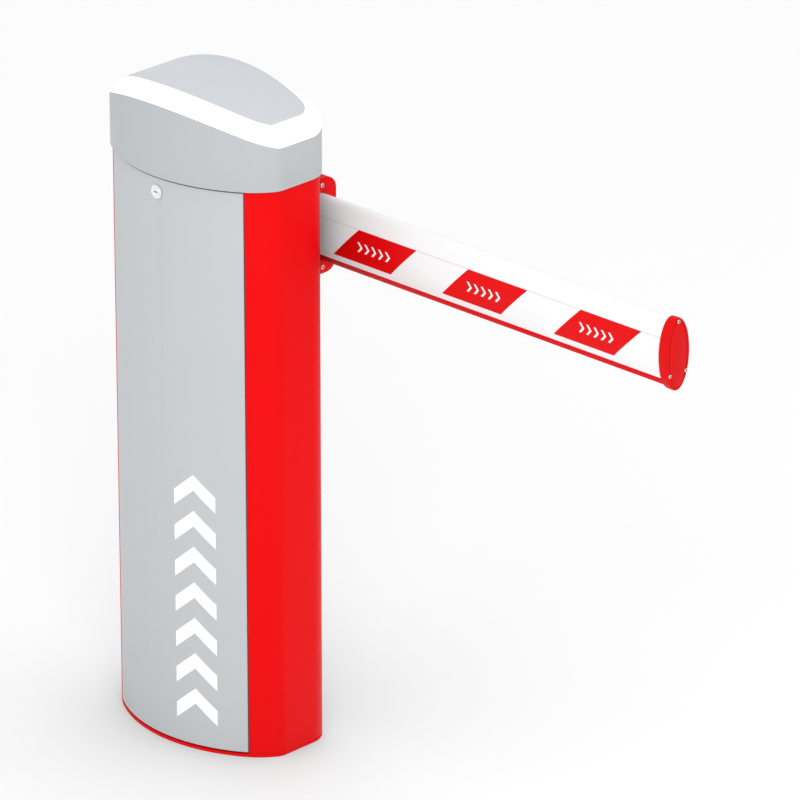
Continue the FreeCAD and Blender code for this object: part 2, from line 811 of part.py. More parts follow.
def spring_hanger():
    x, z = spring_pin
    eye = bar_y(linkage_front, linkage_back, x, z, eye_radius)
    seat_z = spring_top + spring_gap
    stem = bar_z(seat_z, z - stem_start, x, link_y, stem_radius)
    seat = bar_z(seat_z, seat_z + seat_thick, x, link_y, spring_radius - 1)
    return joined([eye, stem, seat]).cut(bar_y(0, far, x, z, pin_radius + pin_running))


def balance_spring():
    helix = Part.makeHelix(spring_pitch, spring_top - spring_foot - spring_wire, spring_radius - spring_wire / 2)
    wire_end = Part.Circle(Vector(spring_radius - spring_wire / 2, 0, 0), Vector(0, 1, 0), spring_wire / 2)
    coil = Part.Wire(helix).makePipeShell([Part.Wire(wire_end.toShape())], True, True)
    coil.translate(Vector(spring_x, link_y, spring_foot + spring_wire / 2))
    return coil


def spring_anchor():
    x0 = spring_x - shelf_half
    x1 = spring_x + shelf_half
    shelf = block(x0, x1, link_y - shelf_half, rear_plate_y, anchor_z, anchor_z + seat_thick)
    web = block(spring_x - 3, spring_x + 3, link_y + 10, rear_plate_y, anchor_z - 30, anchor_z)
    return joined([shelf, web]).cut(bar_z(0, far * 2, spring_x, link_y, tension_radius))


def tension_screw():
    seat = bar_z(spring_foot - seat_thick, spring_foot, spring_x, link_y, spring_radius - 1)
    stem = bar_z(anchor_z - 38, spring_foot, spring_x, link_y, tension_radius)
    nut = hex_bar(anchor_z - nut_height, anchor_z, spring_x, link_y, nut_across)
    return joined([seat, stem, nut])


# ---- Control box ----
def control_box():
    outside = rounded(block(-box_half, box_half, box_front, box_back, box_foot, box_top), 6, Vector(0, 1, 0))
    inside = block(-box_half + box_wall, box_half - box_wall, box_front - 1, box_back - box_wall,
                   box_foot + box_wall, box_top - box_wall)
    places = [(x, z) for x in (-70, 70) for z in (box_foot + 15, box_top - 15)]
    pegs = [bar_y(box_back - board_up, box_back, x, z, 4) for x, z in places]
    return joined([outside.cut(inside), *pegs])


def control_lid():
    return rounded(block(-box_half, box_half, box_front - 3, box_front, box_foot, box_top), 6, Vector(0, 1, 0))


board_back = box_back - board_up
board_front = board_back - board_thick


def control_board():
    return block(-board_half, board_half, board_front, board_back, box_foot + 8, box_top - 8)


def terminal_strip():
    strip = block(-strip_half, strip_half, board_front - 11, board_front, box_foot + 14, box_foot + 28)
    holes = int(2 * strip_half / terminal_pitch)
    places = [(i - (holes - 1) / 2) * terminal_pitch for i in range(holes)]
    return strip.cut([bar_y(board_front - 12, board_front - 8, x, box_foot + 23, 2.2) for x in places])


def cable_glands():
    y = (box_front + box_back) / 2
    glands = [joined([hex_bar(box_foot - 6, box_foot, x, y, 19), bar_z(box_foot - 14, box_foot, x, y, 7)])
              for x in gland_places]
    return Part.makeCompound(glands)


# ---- Boom bracket ----
def bracket_bar(x0, x1, shrink=0.0):
    """A length of the bracket's rounded section."""
    bar = block(x0, x1, bracket_near + shrink, bracket_far - shrink,
                boom_z - bracket_half_h + shrink, boom_z + bracket_half_h - shrink)
    return rounded(bar, bracket_corner - shrink, Vector(1, 0, 0))


clamp_x = (bracket_root + clamp_inset, bracket_face - clamp_inset - 5)
clamp_screw_x = (clamp_x[0] + 25, clamp_x[1] - 25)
hub_bolt_rows = (-hub_bolt_half, hub_bolt_half)
hub_bolt_places = [(x, boom_z + dz) for x in hub_bolt_rows for dz in hub_bolt_rows]


def clamp_screw_shanks():
    low = boom_z + boom_half_h + 2
    high = boom_z + bracket_half_h + 2
    return [bar_z(low, high, x, boom_y, clamp_screw_radius) for x in clamp_screw_x]


def hub_bolt_shanks():
    y0 = bracket_near - 6
    return [bar_y(y0, bracket_near + bracket_wall, x, z, hub_bolt_radius) for x, z in hub_bolt_places]


def bracket_hub():
    ring = bar_y(back_y + hub_gap, bracket_near, 0, boom_z, hub_radius)
    return ring.cut([bar_y(0, far, 0, boom_z, shaft_radius), *hub_bolt_shanks()])


def screw_bosses():
    bosses = []
    for side in (-1, 1):
        z = boom_z + side * bracket_screw_half
        bosses += [bar_x(bracket_face - clamp_inset, bracket_face, boom_y, z, boss_radius),
                   bar_x(bracket_root, bracket_root + clamp_inset - 1, boom_y, z, boss_radius)]
    return bosses


def bracket_body():
    inside = bracket_bar(bracket_root, bracket_face)
    tube = inside.cut(bracket_bar(bracket_root - 1, bracket_face + 1, bracket_wall))
    bosses = [boss.common(inside) for boss in screw_bosses()]
    return joined([tube, *bosses]).cut(clamp_screw_shanks() + hub_bolt_shanks() + bracket_screw_shanks())


def bracket_plate():
    slot = boom_bar(bracket_face - 1, bracket_tip + 1, boom_slot_clear)
    return bracket_bar(bracket_face, bracket_tip).cut([slot, *bracket_screw_shanks()])


def bracket_end_cover():
    return bracket_bar(bracket_root - end_cover_thick, bracket_root).cut(bracket_screw_shanks())


def bracket_screw_shanks():
    shanks = []
    for side in (-1, 1):
        z = boom_z + side * bracket_screw_half
        shanks.append(bar_x(bracket_face - 8, bracket_tip, boom_y, z, 2.5))
        shanks.append(bar_x(bracket_root - end_cover_thick, bracket_root + 8, boom_y, z, 2.5))
    return shanks


def bracket_screws():
    screws = []
    for side in (-1, 1):
        z = boom_z + side * bracket_screw_half
        front_head = bar_x(bracket_tip, bracket_tip + 2.2, boom_y, z, bracket_screw_head)
        rear = bracket_root - end_cover_thick
        rear_head = bar_x(rear - 2.2, rear, boom_y, z, bracket_screw_head)
        shanks = bracket_screw_shanks()[2 * (side > 0):2 * (side > 0) + 2]
        screws += [joined([front_head, shanks[0]]), joined([rear_head, shanks[1]])]
    return Part.makeCompound(screws)


def boom_clamps():
    """Blocks that wedge the boom in the bracket, above and below it."""
    x0, x1 = clamp_x
    y0 = boom_y - clamp_half
    y1 = boom_y + clamp_half
    inside_half = bracket_half_h - bracket_wall
    top = block(x0, x1, y0, y1, boom_z + boom_half_h - 8, boom_z + inside_half)
    top = top.cut([boom_bar(x0 - 1, x1 + 1), *clamp_screw_shanks()])
    low = block(x0, x1, y0, y1, boom_z - inside_half, bumper_top)
    socket = bracket_bar(x0, x1, bracket_wall)
    return Part.makeCompound([top.common(socket), low.common(socket)])


def bracket_bolts():
    """Bolts from the bracket into the hub, and the two that press the clamp block down on the boom."""
    y = bracket_near + bracket_wall
    heads = [bar_y(y, y + 3.5, x, z, hub_bolt_radius + 2) for x, z in hub_bolt_places]
    bolts = [joined([head, shank]) for head, shank in zip(heads, hub_bolt_shanks())]
    top = boom_z + bracket_half_h
    for x, shank in zip(clamp_screw_x, clamp_screw_shanks()):
        bolts.append(joined([hex_bar(top, top + 5.3, x, boom_y, 13), shank.common(below(top))]))
    return Part.makeCompound(bolts)


# ---- Boom ----
def oval_bar(x0, x1, half_w, half_h):
    centre = Vector(x0, boom_y, boom_z)
    crown = centre + Vector(0, 0, half_h)
    oval = Part.Ellipse(crown, centre + Vector(0, half_w, 0), centre)
    return Part.Face(Part.Wire(oval.toShape())).extrude(Vector(x1 - x0, 0, 0))


def boom_bar(x0, x1, grow=0.0):
    """A length of the boom's oval section, grown by a margin."""
    return oval_bar(x0, x1, boom_half_w + grow, boom_half_h + grow)


def above(z):
    return block(-far, far * 3, 0, far, z, z + far)


def below(z):
    return block(-far, far * 3, 0, far, z - far, z)


def boom_profile():
    inside = boom_bar(boom_root - 1, cap_face + 1, -boom_wall).common(above(bumper_top + boom_wall))
    profile = boom_bar(boom_root, cap_face).common(above(bumper_top)).cut(inside)
    for level in film_levels:
        groove = boom_bar(bracket_tip, cap_face - 1).cut(boom_bar(bracket_tip - 1, cap_face, -film_line / 2))
        low = boom_z + level - film_line / 2
        band = block(bracket_tip, cap_face, 0, far, low, low + film_line)
        profile = profile.cut(groove.common(band))
    return profile


def boom_bumper():
    outside = boom_bar(bracket_tip + 1.5, cap_face).common(below(bumper_top))
    inside = boom_bar(bracket_tip, cap_face + 1, -bumper_wall).common(below(bumper_top - bumper_wall))
    return outside.cut(inside)


def boom_end_cap():
    rim_bar = oval_bar(cap_face, boom_tip, boom_half_w + end_cap_side, boom_half_h + end_cap_top)
    rounding = [e for e in rim_bar.Edges if len(e.Vertexes) == 1 or e.Closed]
    cap = rim_bar.makeFillet(3, [e for e in rounding if e.BoundBox.XLength < 1])
    groove = boom_bar(boom_tip - 0.8, boom_tip + 1, -0.6).cut(boom_bar(boom_tip - 2, boom_tip + 2, -2.0))
    plug = boom_bar(cap_face - end_cap_plug, cap_face, -boom_wall - 0.3)
    plug = plug.common(above(bumper_top + boom_wall + 0.3))
    return joined([cap, plug]).cut([groove, *end_screw_shanks()])


low_screw_z = -boom_half_h * end_screw_low
low_screw_y = boom_half_w - 3.5
end_screw_places = ((0, boom_half_h - 2.5), (-low_screw_y, low_screw_z), (low_screw_y, low_screw_z))


def end_screw_shanks():
    return [bar_x(boom_tip - 10, boom_tip, boom_y + dy, boom_z + dz, 1.8) for dy, dz in end_screw_places]


def end_cap_screws():
    screws = []
    for shank, (dy, dz) in zip(end_screw_shanks(), end_screw_places):
        head = bar_x(boom_tip, boom_tip + 1.4, boom_y + dy, boom_z + dz, end_screw_radius)
        screws.append(joined([head, shank]))
    return Part.makeCompound(screws)


def boom_marks():
    """Slanted reflectors on both faces of the boom."""
    start = bracket_tip
    skin = boom_bar(start, cap_face, mark_thick).cut(boom_bar(start - 1, cap_face + 1))
    marks = []
    for i in range(mark_count):
        x = mark_first + i * mark_pitch
        corners = [Vector(x, 0, boom_z + mark_top), Vector(x + mark_width, 0, boom_z + mark_top),
                   Vector(x + mark_width - mark_slant, 0, boom_z + mark_bottom),
                   Vector(x - mark_slant, 0, boom_z + mark_bottom)]
        cutter = Part.Face(Part.makePolygon(corners + corners[:1])).extrude(Vector(0, far, 0))
        marks += skin.common(cutter).Solids
    return Part.makeCompound(marks)


# ---- Writing the pieces ----
makers = (base_plate, cabinet_shell, door_gasket, top_ring, door_panel, door_stiffeners, hook_rod, door_hooks,
          lock_body, lock_plug, lock_cam, cap_skirt, light_band, cap_lid, cap_tray, light_strip,
          drive_rear_plate, drive_front_plate, stand_offs, frame_foot, frame_bolts, shaft_bearings, shaft_seal,
          stop_buffers, gearbox_case, gearbox_cover, motor, motor_fan_cover, release_lever, boom_shaft,
          shaft_key, rocker, rocker_pins, switch_cams, limit_switches, crank, output_shaft, rod_ends,
          connecting_rod, spring_hanger, balance_spring, spring_anchor, tension_screw, control_box,
          control_lid, control_board, terminal_strip, cable_glands, bracket_hub, bracket_body, bracket_plate,
          bracket_end_cover, bracket_screws, bracket_bolts, boom_clamps, boom_profile, boom_bumper,
          boom_end_cap, end_cap_screws, boom_marks)


def main():
    os.makedirs("parts", exist_ok=True)
    for maker in makers:
        name = maker.__name__
        shape = maker()
        if not shape.isValid() or not shape.Solids:
            print("NOT VALID:", name)
        shape.exportStep(os.path.join("parts", name + ".step"))
        print(name, len(shape.Solids), "solid(s),", round(shape.Volume / 1000, 1), "cm3")


main()
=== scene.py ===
# %% [markdown]
# # A parking barrier, finished in Blender
#
# The gate comes from CAD as a fixed frame: every part has its real size and its joints are set. Blender's
# job is the surface: soft edges, paint, plastic, rubber and film. Nothing is moved, so each new piece
# takes its place from the frame it covers. The red shell and grey door are powder-coated sheet, the cap
# is moulded plastic with an opal light band, and the boom is a white oval tube with red reflectors and a
# rubber bumper below.

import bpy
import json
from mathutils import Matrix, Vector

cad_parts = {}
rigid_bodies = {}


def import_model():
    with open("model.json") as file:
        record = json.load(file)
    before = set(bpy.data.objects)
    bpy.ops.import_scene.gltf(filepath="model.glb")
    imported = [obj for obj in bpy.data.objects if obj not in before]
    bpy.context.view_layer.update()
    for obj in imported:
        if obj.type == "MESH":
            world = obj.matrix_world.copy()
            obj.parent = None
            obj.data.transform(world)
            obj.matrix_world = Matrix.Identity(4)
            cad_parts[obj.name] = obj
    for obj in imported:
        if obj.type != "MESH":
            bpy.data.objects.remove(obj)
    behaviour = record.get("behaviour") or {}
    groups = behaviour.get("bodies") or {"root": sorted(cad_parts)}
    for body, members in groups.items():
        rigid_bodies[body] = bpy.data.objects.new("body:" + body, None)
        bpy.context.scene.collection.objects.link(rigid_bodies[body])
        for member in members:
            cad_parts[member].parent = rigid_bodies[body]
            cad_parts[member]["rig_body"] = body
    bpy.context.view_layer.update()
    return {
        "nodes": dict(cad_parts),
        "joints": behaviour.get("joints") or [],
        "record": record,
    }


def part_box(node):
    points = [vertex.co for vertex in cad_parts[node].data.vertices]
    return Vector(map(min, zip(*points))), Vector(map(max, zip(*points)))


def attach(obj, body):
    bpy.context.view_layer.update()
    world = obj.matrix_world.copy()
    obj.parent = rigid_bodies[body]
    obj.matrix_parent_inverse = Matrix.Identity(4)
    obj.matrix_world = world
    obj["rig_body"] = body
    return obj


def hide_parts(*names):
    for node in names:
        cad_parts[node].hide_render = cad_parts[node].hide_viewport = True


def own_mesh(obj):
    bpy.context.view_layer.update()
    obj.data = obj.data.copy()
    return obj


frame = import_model()

# %% Tools used below
import json
import math

import bmesh
import bpy
from mathutils import Vector
from mathutils.bvhtree import BVHTree

MM = 0.001
nodes = frame["nodes"]
record = frame["record"]
slot_of = {row["node"]: row["material_slot"] for row in record["subparts"]}

# %% [markdown]
# ## Camera
#
# A long lens from far away keeps the cabinet's upright edges almost parallel. The camera stands in front
# of the bowed door and to the boom's side, well above the cap, so the top of the cap shows.

# %% Place the camera
LENS_MM = 317.4
CAMERA_PLACE = Vector((6.8956, -6.6587, 4.5576))
CAMERA_LOOKS = Vector((-0.64358, 0.65956, -0.38831))

camera = bpy.data.objects.new("camera", bpy.data.cameras.new("camera"))
bpy.context.scene.collection.objects.link(camera)
camera.location = CAMERA_PLACE
camera.rotation_mode = "QUATERNION"
camera.rotation_quaternion = CAMERA_LOOKS.to_track_quat("-Z", "Y")
camera.data.lens = LENS_MM
camera.data.sensor_width = 36.0
camera.data.clip_end = 100.0
bpy.context.scene.camera = camera
print("camera looks along", tuple(round(v, 3) for v in CAMERA_LOOKS))

# %% [markdown]
# ## Light and floor
#
# A white surround fills every face evenly and lets the floor darken only close to the gate. One broad
# panel in front on the right makes the faces that turn that way a little lighter. The plain view
# transform keeps the red pure.

# %% Light the studio
scene = bpy.context.scene
scene.view_settings.view_transform = "Standard"
scene.view_settings.look = "None"

world = bpy.data.worlds.new("studio")
scene.world = world
world.use_nodes = True
world.node_tree.nodes["Background"].inputs["Color"].default_value = (1.0, 1.0, 1.0, 1.0)
world.node_tree.nodes["Background"].inputs["Strength"].default_value = 1.01


def soft_panel(name, place, target, size, watts):
    """A square light panel turned towards a point."""
    light = bpy.data.lights.new(name, "AREA")
    light.size = size
    light.energy = watts
    panel = bpy.data.objects.new(name, light)
    scene.collection.objects.link(panel)
    panel.location = place
    panel.rotation_mode = "QUATERNION"
    panel.rotation_quaternion = (Vector(target) - Vector(place)).to_track_quat("-Z", "Y")


soft_panel("key_panel", (3.4, -3.0, 3.2), (0.0, 0.0, 0.5), 2.4, 70.0)
print("a white surround and one light panel")

# %% [markdown]
# ## A material's building blocks
#
# Real surfaces are never one flat value. Three small effects are shared here, so each is a node group with
# named inputs and outputs. A mottle that drifts slowly over a face, and a fine grain that only changes
# height and gloss, go into every finish. Dust that gathers towards the ground goes into the painted sheet.
# Each material mixes them in at its own strength.

# %% A helper for node groups
def new_group(name, inputs, outputs):
    """An empty shader group with named sockets, given as (name, kind, default) and (name, kind)."""
    group = bpy.data.node_groups.new(name, "ShaderNodeTree")
    for label, kind, default in inputs:
        socket = group.interface.new_socket(label, in_out="INPUT", socket_type=kind)
        socket.default_value = default
    for label, kind in outputs:
        group.interface.new_socket(label, in_out="OUTPUT", socket_type=kind)
    start = group.nodes.new("NodeGroupInput")
    end = group.nodes.new("NodeGroupOutput")
    return group, start, end


def add(tree, kind, **settings):
    """A node of a kind with some of its properties set."""
    node = tree.nodes.new(kind)
    for key, value in settings.items():
        setattr(node, key, value)
    return node


def maths(tree, operation, first, second):
    """A math node whose two inputs are sockets or numbers."""
    node = add(tree, "ShaderNodeMath", operation=operation)
    for socket, value in zip(node.inputs, (first, second)):
        if isinstance(value, (int, float)):
            socket.default_value = value
        else:
            tree.links.new(value, socket)
    return node.outputs[0]


# %% Mottle: a slow drift of tone
mottle, start, end = new_group(
    "mottle",
    [("Scale", "NodeSocketFloat", 8.0), ("Amount", "NodeSocketFloat", 0.05)],
    [("Tone", "NodeSocketFloat")])
where = add(mottle, "ShaderNodeTexCoord")
cloud = add(mottle, "ShaderNodeTexNoise")
cloud.inputs["Detail"].default_value = 4.0
mottle.links.new(where.outputs["Object"], cloud.inputs["Vector"])
mottle.links.new(start.outputs["Scale"], cloud.inputs["Scale"])
centred = maths(mottle, "SUBTRACT", cloud.outputs["Fac"], 0.5)
scaled = maths(mottle, "MULTIPLY", centred, start.outputs["Amount"])
mottle.links.new(maths(mottle, "ADD", scaled, 1.0), end.inputs["Tone"])
print("group mottle: a factor close to 1")

# %% Grain: fine relief and its gloss
grain, start, end = new_group(
    "grain",
    [("Size", "NodeSocketFloat", 0.001)],
    [("Height", "NodeSocketFloat"), ("Speck", "NodeSocketFloat")])
where = add(grain, "ShaderNodeTexCoord")
fine = add(grain, "ShaderNodeTexNoise")
fine.inputs["Detail"].default_value = 2.0
grain.links.new(where.outputs["Object"], fine.inputs["Vector"])
grain.links.new(maths(grain, "DIVIDE", 1.0, start.outputs["Size"]), fine.inputs["Scale"])
grain.links.new(fine.outputs["Fac"], end.inputs["Height"])
speck = add(grain, "ShaderNodeTexVoronoi")
grain.links.new(where.outputs["Object"], speck.inputs["Vector"])
grain.links.new(maths(grain, "DIVIDE", 0.6, start.outputs["Size"]), speck.inputs["Scale"])
grain.links.new(speck.outputs["Distance"], end.inputs["Speck"])
print("group grain: relief and specks at a size given in metres")

# %% Dust: a veil that thickens towards the ground
dust, start, end = new_group(
    "dust",
    [("Reach", "NodeSocketFloat", 0.12), ("Amount", "NodeSocketFloat", 0.15)],
    [("Mask", "NodeSocketFloat")])
where = add(dust, "ShaderNodeTexCoord")
split = add(dust, "ShaderNodeSeparateXYZ")
dust.links.new(where.outputs["Object"], split.inputs[0])
fade = add(dust, "ShaderNodeMapRange")
fade.interpolation_type = "SMOOTHSTEP"
dust.links.new(split.outputs["Z"], fade.inputs["Value"])
fade.inputs["From Min"].default_value = 0.0
dust.links.new(start.outputs["Reach"], fade.inputs["From Max"])
fade.inputs["To Min"].default_value = 1.0
fade.inputs["To Max"].default_value = 0.0
patches = add(dust, "ShaderNodeTexNoise")
patches.inputs["Scale"].default_value = 30.0
patches.inputs["Detail"].default_value = 6.0
dust.links.new(where.outputs["Object"], patches.inputs["Vector"])
ragged = maths(dust, "MULTIPLY", fade.outputs["Result"], patches.outputs["Fac"])
dust.links.new(maths(dust, "MULTIPLY", ragged, start.outputs["Amount"]), end.inputs["Mask"])
print("group dust: a mask, strongest at the ground")

# %% [markdown]
# ## Finishes
#
# One recipe builds every finish: a colour drifting with the mottle, a veil of dust over it, roughness
# that follows the specks and a bump from the grain. The values differ: powder coat has a wide, soft
# orange peel and a clear gloss, moulded plastic a tight spark texture, plated steel a patchy gloss,
# rubber a dull fine tooth.
#
# A large bright red face would throw pink light over the floor and its neighbours. A finish can therefore
# name a colour that it throws instead. Light Path tells a scattered ray from one that is seen, and
# mixes that colour in. The colour named below is nearly black, so the red shell and the grey door throw
# almost no light: the floor and the faces close to them get a painted shade, darker than their paint
# would leave them.

# %% The recipe
DUST_COLOUR = (0.52, 0.49, 0.45, 1.0)
DUST_DULLS = 0.5            # roughness that full dust adds
COAT_ROUGHNESS = 0.08


def finish(name, colour, roughness, grain_size, bump, *, metallic=0.0, mottle_scale=7.0, mottle_amount=0.05,
           gloss_drift=0.08, coat=0.0, dust_amount=0.0, glow=0.0, specular=0.5, thrown=None):
    """A material made from the three shared effects; thrown is the colour it throws on its neighbours."""
    material = bpy.data.materials.new(name)
    material.use_nodes = True
    tree = material.node_tree
    shader = tree.nodes["Principled BSDF"]
    tone = add(tree, "ShaderNodeGroup", node_tree=mottle)
    tone.inputs["Scale"].default_value = mottle_scale
    tone.inputs["Amount"].default_value = mottle_amount
    base = add(tree, "ShaderNodeMix", data_type="RGBA", blend_type="MULTIPLY")
    base.inputs["Factor"].default_value = 1.0
    base.inputs["A"].default_value = (*colour, 1.0)
    grey = add(tree, "ShaderNodeCombineColor")
    for channel in ("Red", "Green", "Blue"):
        tree.links.new(tone.outputs["Tone"], grey.inputs[channel])
    tree.links.new(grey.outputs["Color"], base.inputs["B"])
    colour_out = base.outputs["Result"]
    relief = add(tree, "ShaderNodeGroup", node_tree=grain)
    relief.inputs["Size"].default_value = grain_size
    rough = maths(tree, "MULTIPLY", relief.outputs["Speck"], gloss_drift)
    rough = maths(tree, "ADD", rough, roughness)
    if dust_amount:
        veil = add(tree, "ShaderNodeGroup", node_tree=dust)
        veil.inputs["Amount"].default_value = dust_amount
        dusty = add(tree, "ShaderNodeMix", data_type="RGBA")
        dusty.inputs["B"].default_value = DUST_COLOUR
        tree.links.new(veil.outputs["Mask"], dusty.inputs["Factor"])
        tree.links.new(colour_out, dusty.inputs["A"])
        colour_out = dusty.outputs["Result"]
        rough = maths(tree, "ADD", rough, maths(tree, "MULTIPLY", veil.outputs["Mask"], DUST_DULLS))
    # Scattered rays see the thrown colour instead of the paint; a dark one paints shade on the neighbours.
    if thrown:
        path = add(tree, "ShaderNodeLightPath")
        calm = add(tree, "ShaderNodeMix", data_type="RGBA")
        calm.inputs["B"].default_value = (*thrown, 1.0)
        tree.links.new(path.outputs["Is Diffuse Ray"], calm.inputs["Factor"])
        tree.links.new(colour_out, calm.inputs["A"])
        colour_out = calm.outputs["Result"]
    tree.links.new(colour_out, shader.inputs["Base Color"])
    tree.links.new(rough, shader.inputs["Roughness"])
    raised = add(tree, "ShaderNodeBump")
    raised.inputs["Strength"].default_value = 1.0
    raised.inputs["Distance"].default_value = bump
    tree.links.new(relief.outputs["Height"], raised.inputs["Height"])
    tree.links.new(raised.outputs["Normal"], shader.inputs["Normal"])
    shader.inputs["Metallic"].default_value = metallic
    shader.inputs["Specular IOR Level"].default_value = specular
    shader.inputs["Coat Weight"].default_value = coat
    shader.inputs["Coat Roughness"].default_value = COAT_ROUGHNESS
    if glow:
        tree.links.new(colour_out, shader.inputs["Emission Color"])
        shader.inputs["Emission Strength"].default_value = glow
    return material


# %% Every finish on the gate
# Nearly black: faces that throw it darken the floor and their neighbours, a painted shade.
SHADE_DEEPENING_BOUNCE = (0.02, 0.02, 0.02)
finishes = {
    "red_paint": finish("red_powder_coat", (0.750, 0.0022, 0.0036), 0.38, 0.0022, 0.00002, mottle_amount=0.04,
                        dust_amount=0.003, specular=0.06, thrown=SHADE_DEEPENING_BOUNCE),
    "door_grey": finish("grey_powder_coat", (0.485, 0.508, 0.527), 0.42, 0.0018, 0.00002, mottle_amount=0.035,
                        dust_amount=0.12, specular=0.35, thrown=SHADE_DEEPENING_BOUNCE),
    "cap_grey": finish("grey_moulding", (0.440, 0.462, 0.475), 0.45, 0.0007, 0.000012, mottle_amount=0.03),
    "lid_grey": finish("lid_moulding", (0.545, 0.570, 0.600), 0.36, 0.0007, 0.000010, mottle_amount=0.03),
    "light_white": finish("opal_diffuser", (0.96, 0.96, 0.96), 0.30, 0.0010, 0.000004, mottle_amount=0.01,
                          glow=0.35),
    "boom_white": finish("white_coat", (0.84, 0.83, 0.835), 0.30, 0.0020, 0.000012, mottle_amount=0.03,
                         coat=0.3),
    "bumper_red": finish("red_rubber", (0.66, 0.003, 0.006), 0.55, 0.0006, 0.00002, mottle_amount=0.08,
                         specular=0.08, thrown=SHADE_DEEPENING_BOUNCE),
    "mark_red": finish("red_film", (0.71, 0.002, 0.003), 0.30, 0.0016, 0.000008, mottle_amount=0.03,
                       specular=0.09, thrown=SHADE_DEEPENING_BOUNCE),
    "end_cap_red": finish("red_moulding", (0.66, 0.002, 0.003), 0.33, 0.0008, 0.00001, mottle_amount=0.04,
                          specular=0.09, thrown=SHADE_DEEPENING_BOUNCE),
    "zinc_steel": finish("zinc_plate", (0.66, 0.66, 0.63), 0.30, 0.0012, 0.00001, metallic=1.0,
                         mottle_amount=0.16, mottle_scale=60.0, gloss_drift=0.22),
    "frame_steel": finish("galvanised_sheet", (0.56, 0.57, 0.57), 0.38, 0.0060, 0.00001, metallic=1.0,
                          mottle_amount=0.22, mottle_scale=45.0, gloss_drift=0.25),
    "black_steel": finish("black_oxide", (0.035, 0.036, 0.040), 0.42, 0.0010, 0.00001, metallic=0.7,
                          mottle_amount=0.3, mottle_scale=40.0),
    "chrome": finish("polished_chrome", (0.86, 0.86, 0.87), 0.10, 0.0015, 0.000004, metallic=1.0,
                     mottle_amount=0.04, gloss_drift=0.05),
    "cast_aluminium": finish("cast_aluminium", (0.56, 0.57, 0.58), 0.48, 0.0016, 0.00012, metallic=0.9,
                             mottle_amount=0.14, mottle_scale=30.0),
    "motor_blue": finish("blue_enamel", (0.045, 0.085, 0.17), 0.38, 0.0016, 0.00003, mottle_amount=0.12),
    "rubber_black": finish("black_rubber", (0.022, 0.022, 0.023), 0.68, 0.0006, 0.00003, mottle_amount=0.2),
    "box_grey": finish("grey_box_plastic", (0.46, 0.475, 0.49), 0.50, 0.0008, 0.00002, mottle_amount=0.04),
    "plastic_black": finish("black_plastic", (0.018, 0.018, 0.020), 0.46, 0.0008, 0.00002, mottle_amount=0.2),
    "board_green": finish("solder_mask", (0.012, 0.17, 0.055), 0.30, 0.0030, 0.00002, mottle_amount=0.25,
                          mottle_scale=90.0),
}
# Grey for the floor of the boom's film joints: painted shade in the notch.
painted_joint_shade = finish("painted_joint_shade", (0.60, 0.60, 0.61), 0.6, 0.001, 0.00001, mottle_amount=0.05)
# Near black for the floors of the key slot and the screw sockets: painted shade.
painted_socket_shade = finish("socket_shadow", (0.05, 0.05, 0.055), 0.6, 0.001, 0.00001, metallic=0.6,
                     mottle_amount=0.1)
# Dark red: painted shade down in the end cap's groove, and also the print of its small arrows.
groove_shade_and_arrow_red = finish("groove_shade_and_arrow_red", (0.42, 0.002, 0.004), 0.5, 0.001, 0.00001, mottle_amount=0.05,
                    specular=0.2)
print(len(finishes), "finishes for the record's slots and 3 for cuts")

# %% [markdown]
# ## Carrying the finishes onto the CAD parts
#
# The inner parts of the drive already have the right shape. They only need their finish and a smooth
# shade on round faces, with crisp edges where faces meet at an angle.

# %% Paint the CAD nodes
CREASE = math.radians(28)


def shade(mesh):
    """Smooth on curves, crisp where faces meet at an angle."""
    mesh.shade_smooth()
    mesh.set_sharp_from_angle(angle=CREASE)


for name, node in nodes.items():
    slot = node.material_slots[0]
    slot.material = finishes[slot_of[name]]
    shade(node.data)
print("painted", len(nodes), "CAD nodes")

# %% [markdown]
# ## Soft edges on what shows
#
# No sheet, moulding or casting ends in a knife edge: light always catches a small radius. A piece that
# shows is a copy of its CAD part with the flat faces merged into whole faces and every hard edge rounded
# by a Bevel modifier. The radius is the real one for each kind of part: half a millimetre on painted
# sheet, more on castings.

# %% Round the edges of a part
SAME_POINT = 0.002 * MM
SAME_PLANE = math.radians(0.4)
EDGE_ANGLE = math.radians(24)       # an edge turns by more than this
EDGE_SEGMENTS = 3


def softened(name, radius):
    """A copy of a CAD part with rounded edges, standing for that part."""
    source = nodes[name]
    mesh = source.data.copy()
    shell = bmesh.new()
    shell.from_mesh(mesh)
    bmesh.ops.remove_doubles(shell, verts=shell.verts, dist=SAME_POINT)
    bmesh.ops.dissolve_limit(shell, angle_limit=SAME_PLANE, verts=shell.verts, edges=shell.edges)
    shell.to_mesh(mesh)
    shell.free()
    mesh.shade_smooth()
    piece = bpy.data.objects.new(name + "_finished", mesh)
    scene.collection.objects.link(piece)
    mesh.materials.clear()
    mesh.materials.append(finishes[slot_of[name]])
    bevel = piece.modifiers.new("edge_radius", "BEVEL")
    bevel.width = radius * MM
    bevel.segments = EDGE_SEGMENTS
    bevel.limit_method = "ANGLE"
    bevel.angle_limit = EDGE_ANGLE
    bevel.harden_normals = True
    bevel.use_clamp_overlap = True
    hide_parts(name)
    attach(piece, source["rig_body"])
    return piece


EDGE_RADII = {              # in millimetres
    "base_plate": 0.8, "cabinet_shell": 0.5, "door_panel": 0.6,
    "cap_skirt": 0.6, "light_band": 0.5, "cap_lid": 0.8,
    "bracket_hub": 1.0, "bracket_body": 0.8, "bracket_plate": 1.2,
    "bracket_end_cover": 1.4, "bracket_bolts": 0.5,
    "boom_bumper": 0.8, "boom_end_cap": 0.15,
    "lock_body": 0.5, "lock_plug": 0.1,
}
rounded = {name: softened(name, radius) for name, radius in EDGE_RADII.items()}
print("rounded", len(EDGE_RADII), "parts")
